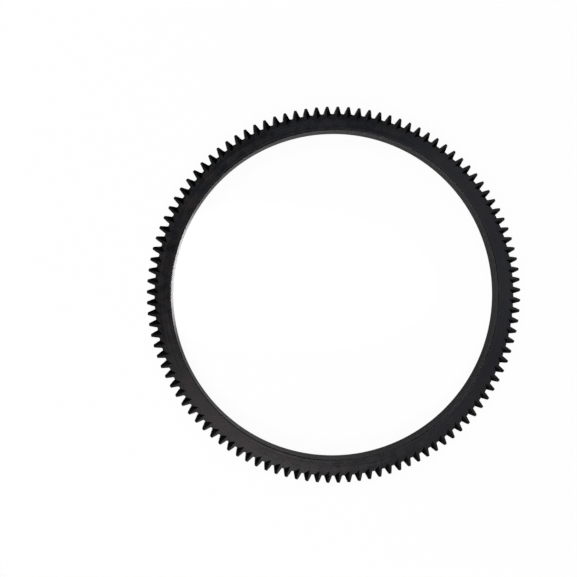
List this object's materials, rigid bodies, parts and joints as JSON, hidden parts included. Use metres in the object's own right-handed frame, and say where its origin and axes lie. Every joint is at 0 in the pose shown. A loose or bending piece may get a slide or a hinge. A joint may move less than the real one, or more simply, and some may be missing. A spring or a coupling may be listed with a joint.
{
  "type": "flywheel ring gear",
  "caption": "Thin flat steel ring gear with involute teeth outside, one-sided lead-in cuts on the front tooth ends and a plain bore that shrinks onto a flywheel.",
  "frame": {"origin": "on the gear's axis, in the plane of the back face, which lies on the surface below", "axes": "+Z along the gear's axis, from the back face towards the front face that has the lead-in cuts; one tooth is centred on +X"},
  "size_m": [0.2844, 0.2844, 0.011],
  "materials": {
    "black_steel": "dull black heat-treatment scale, lightly oiled"
  },
  "bodies": {
    "root": {"ring_gear": "black_steel"}
  },
  "joints": []
}
